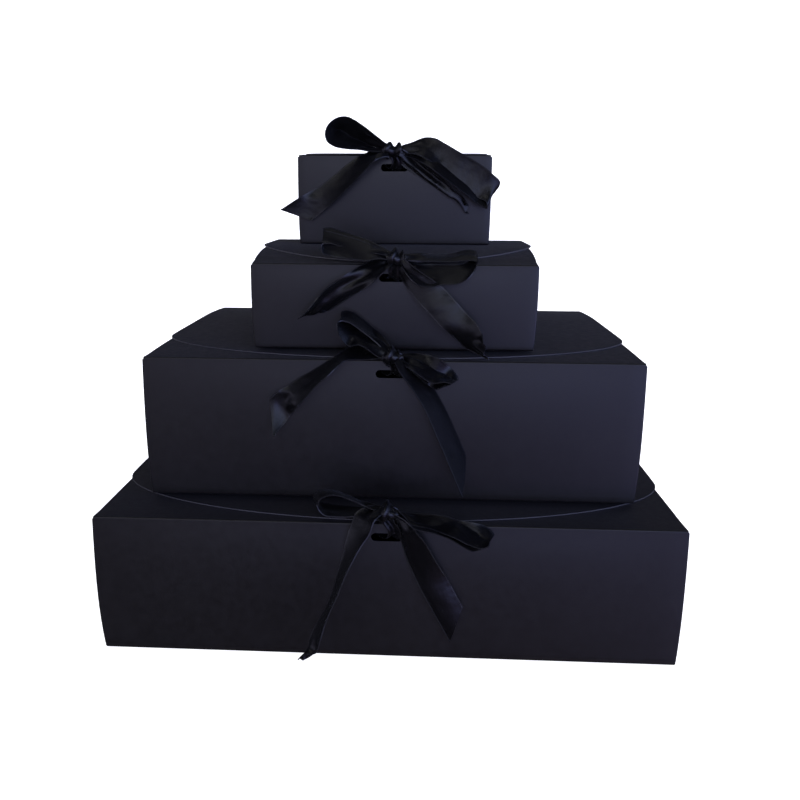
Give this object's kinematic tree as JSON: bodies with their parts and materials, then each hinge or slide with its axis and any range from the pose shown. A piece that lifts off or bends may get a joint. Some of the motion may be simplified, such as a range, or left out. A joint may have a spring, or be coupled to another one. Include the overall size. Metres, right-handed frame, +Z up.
{
  "type": "gift box set",
  "caption": "Graded stack of rectangular black card gift boxes, each with a hinged arched lid flap tied down at the front by a black satin ribbon bow.",
  "frame": {"origin": "centre of the lowest (extra large) box's base, on the surface it stands on", "axes": "+X to the right along the boxes' widths, +Y from the bows' side to the hinges' side, +Z up through the stack"},
  "size_m": [0.31, 0.2719, 0.2907],
  "materials": {
    "black_card": "matt laminated black card with a soft sheen at low angles and paler cut edges",
    "black_satin": "black satin ribbon with a fine woven sheen and firm selvages"
  },
  "bodies": {
    "xl_tray": {"xl_bottom_panel": "black_card", "xl_front_wall": "black_card", "xl_back_wall": "black_card", "xl_left_wall": "black_card", "xl_right_wall": "black_card", "xl_glue_tabs": "black_card", "xl_ribbon_band": "black_satin", "xl_bow_knot": "black_satin", "xl_bow_loops": "black_satin", "xl_bow_tails": "black_satin"},
    "xl_lid": {"xl_lid_flap": "black_card"},
    "xl_front": {"xl_front_flap": "black_card"},
    "xl_left_dust": {"xl_left_dust_flap": "black_card"},
    "xl_right_dust": {"xl_right_dust_flap": "black_card"},
    "large_tray": {"large_bottom_panel": "black_card", "large_front_wall": "black_card", "large_back_wall": "black_card", "large_left_wall": "black_card", "large_right_wall": "black_card", "large_glue_tabs": "black_card", "large_ribbon_band": "black_satin", "large_bow_knot": "black_satin", "large_bow_loops": "black_satin", "large_bow_tails": "black_satin"},
    "large_lid": {"large_lid_flap": "black_card"},
    "large_front": {"large_front_flap": "black_card"},
    "large_left_dust": {"large_left_dust_flap": "black_card"},
    "large_right_dust": {"large_right_dust_flap": "black_card"},
    "medium_tray": {"medium_bottom_panel": "black_card", "medium_front_wall": "black_card", "medium_back_wall": "black_card", "medium_left_wall": "black_card", "medium_right_wall": "black_card", "medium_glue_tabs": "black_card", "medium_ribbon_band": "black_satin", "medium_bow_knot": "black_satin", "medium_bow_loops": "black_satin", "medium_bow_tails": "black_satin"},
    "medium_lid": {"medium_lid_flap": "black_card"},
    "medium_front": {"medium_front_flap": "black_card"},
    "medium_left_dust": {"medium_left_dust_flap": "black_card"},
    "medium_right_dust": {"medium_right_dust_flap": "black_card"},
    "small_tray": {"small_bottom_panel": "black_card", "small_front_wall": "black_card", "small_back_wall": "black_card", "small_left_wall": "black_card", "small_right_wall": "black_card", "small_glue_tabs": "black_card", "small_ribbon_band": "black_satin", "small_bow_knot": "black_satin", "small_bow_loops": "black_satin", "small_bow_tails": "black_satin"},
    "small_lid": {"small_lid_flap": "black_card"},
    "small_front": {"small_front_flap": "black_card"},
    "small_left_dust": {"small_left_dust_flap": "black_card"},
    "small_right_dust": {"small_right_dust_flap": "black_card"}
  },
  "joints": [
    {"name": "xl_lid_hinge", "type": "hinge", "parent": "xl_tray", "child": "xl_lid", "pos_m": [0, 0.1285, 0.0764], "axis": [-1, 0, 0], "range_deg": [0, 100], "deforming": ["xl_ribbon_band", "xl_bow_knot", "xl_bow_loops", "xl_bow_tails"]},
    {"name": "xl_front_hinge", "type": "hinge", "parent": "xl_tray", "child": "xl_front", "pos_m": [0, -0.1285, 0.07565], "axis": [1, 0, 0], "range_deg": [0, 90]},
    {"name": "xl_left_dust_hinge", "type": "hinge", "parent": "xl_tray", "child": "xl_left_dust", "pos_m": [-0.155, 0, 0.0749], "axis": [0, -1, 0], "range_deg": [0, 80]},
    {"name": "xl_right_dust_hinge", "type": "hinge", "parent": "xl_tray", "child": "xl_right_dust", "pos_m": [0.155, 0, 0.0749], "axis": [0, 1, 0], "range_deg": [0, 80]},
    {"name": "lift_large", "type": "slide", "parent": "xl_tray", "child": "large_tray", "axis": [0, 0, 1], "range_m": [0, 0.43]},
    {"name": "large_lid_hinge", "type": "hinge", "parent": "large_tray", "child": "large_lid", "pos_m": [0.0004, 0.1166, 0.1578], "axis": [-1, 0, 0], "range_deg": [0, 100], "deforming": ["large_ribbon_band", "large_bow_knot", "large_bow_loops", "large_bow_tails"]},
    {"name": "large_front_hinge", "type": "hinge", "parent": "large_tray", "child": "large_front", "pos_m": [0.0004, -0.0969, 0.15705], "axis": [1, 0, 0], "range_deg": [0, 90]},
    {"name": "large_left_dust_hinge", "type": "hinge", "parent": "large_tray", "child": "large_left_dust", "pos_m": [-0.1341, 0.00985, 0.1563], "axis": [0, -1, 0], "range_deg": [0, 80]},
    {"name": "large_right_dust_hinge", "type": "hinge", "parent": "large_tray", "child": "large_right_dust", "pos_m": [0.1349, 0.00985, 0.1563], "axis": [0, 1, 0], "range_deg": [0, 80]},
    {"name": "lift_medium", "type": "slide", "parent": "large_tray", "child": "medium_tray", "axis": [0, 0, 1], "range_m": [0, 0.36]},
    {"name": "medium_lid_hinge", "type": "hinge", "parent": "medium_tray", "child": "medium_lid", "pos_m": [0.001, 0.0805, 0.2079], "axis": [-1, 0, 0], "range_deg": [0, 100], "deforming": ["medium_ribbon_band", "medium_bow_knot", "medium_bow_loops", "medium_bow_tails"]},
    {"name": "medium_front_hinge", "type": "hinge", "parent": "medium_tray", "child": "medium_front", "pos_m": [0.001, -0.0785, 0.20715], "axis": [1, 0, 0], "range_deg": [0, 90]},
    {"name": "medium_left_dust_hinge", "type": "hinge", "parent": "medium_tray", "child": "medium_left_dust", "pos_m": [-0.07675, 0.001, 0.2064], "axis": [0, -1, 0], "range_deg": [0, 80]},
    {"name": "medium_right_dust_hinge", "type": "hinge", "parent": "medium_tray", "child": "medium_right_dust", "pos_m": [0.07875, 0.001, 0.2064], "axis": [0, 1, 0], "range_deg": [0, 80]},
    {"name": "lift_small", "type": "slide", "parent": "medium_tray", "child": "small_tray", "axis": [0, 0, 1], "range_m": [0, 0.235]},
    {"name": "small_lid_hinge", "type": "hinge", "parent": "small_tray", "child": "small_lid", "pos_m": [-0.0009, 0.0813, 0.2679], "axis": [-1, 0, 0], "range_deg": [0, 110], "deforming": ["small_ribbon_band", "small_bow_knot", "small_bow_loops", "small_bow_tails"]},
    {"name": "small_front_hinge", "type": "hinge", "parent": "small_tray", "child": "small_front", "pos_m": [-0.0009, -0.0177, 0.26715], "axis": [1, 0, 0], "range_deg": [0, 90]},
    {"name": "small_left_dust_hinge", "type": "hinge", "parent": "small_tray", "child": "small_left_dust", "pos_m": [-0.0584, 0.0318, 0.2664], "axis": [0, -1, 0], "range_deg": [0, 80]},
    {"name": "small_right_dust_hinge", "type": "hinge", "parent": "small_tray", "child": "small_right_dust", "pos_m": [0.0566, 0.0318, 0.2664], "axis": [0, 1, 0], "range_deg": [0, 80]}
  ],
  "couplings": [
    {"joint": "xl_lid_hinge", "follows": "lift_large", "rad_per_m": 4.05},
    {"joint": "xl_front_hinge", "follows": "lift_large", "rad_per_m": 3.64},
    {"joint": "xl_left_dust_hinge", "follows": "lift_large", "rad_per_m": 3.24},
    {"joint": "xl_right_dust_hinge", "follows": "lift_large", "rad_per_m": 3.24},
    {"joint": "large_lid_hinge", "follows": "lift_medium", "rad_per_m": 4.84},
    {"joint": "large_front_hinge", "follows": "lift_medium", "rad_per_m": 4.35},
    {"joint": "large_left_dust_hinge", "follows": "lift_medium", "rad_per_m": 3.87},
    {"joint": "large_right_dust_hinge", "follows": "lift_medium", "rad_per_m": 3.87},
    {"joint": "medium_lid_hinge", "follows": "lift_small", "rad_per_m": 7.42},
    {"joint": "medium_front_hinge", "follows": "lift_small", "rad_per_m": 6.67},
    {"joint": "medium_left_dust_hinge", "follows": "lift_small", "rad_per_m": 5.93},
    {"joint": "medium_right_dust_hinge", "follows": "lift_small", "rad_per_m": 5.93},
    {"joint": "small_front_hinge", "follows": "small_lid_hinge", "ratio": 0.81},
    {"joint": "small_left_dust_hinge", "follows": "small_lid_hinge", "ratio": 0.72},
    {"joint": "small_right_dust_hinge", "follows": "small_lid_hinge", "ratio": 0.72}
  ]
}
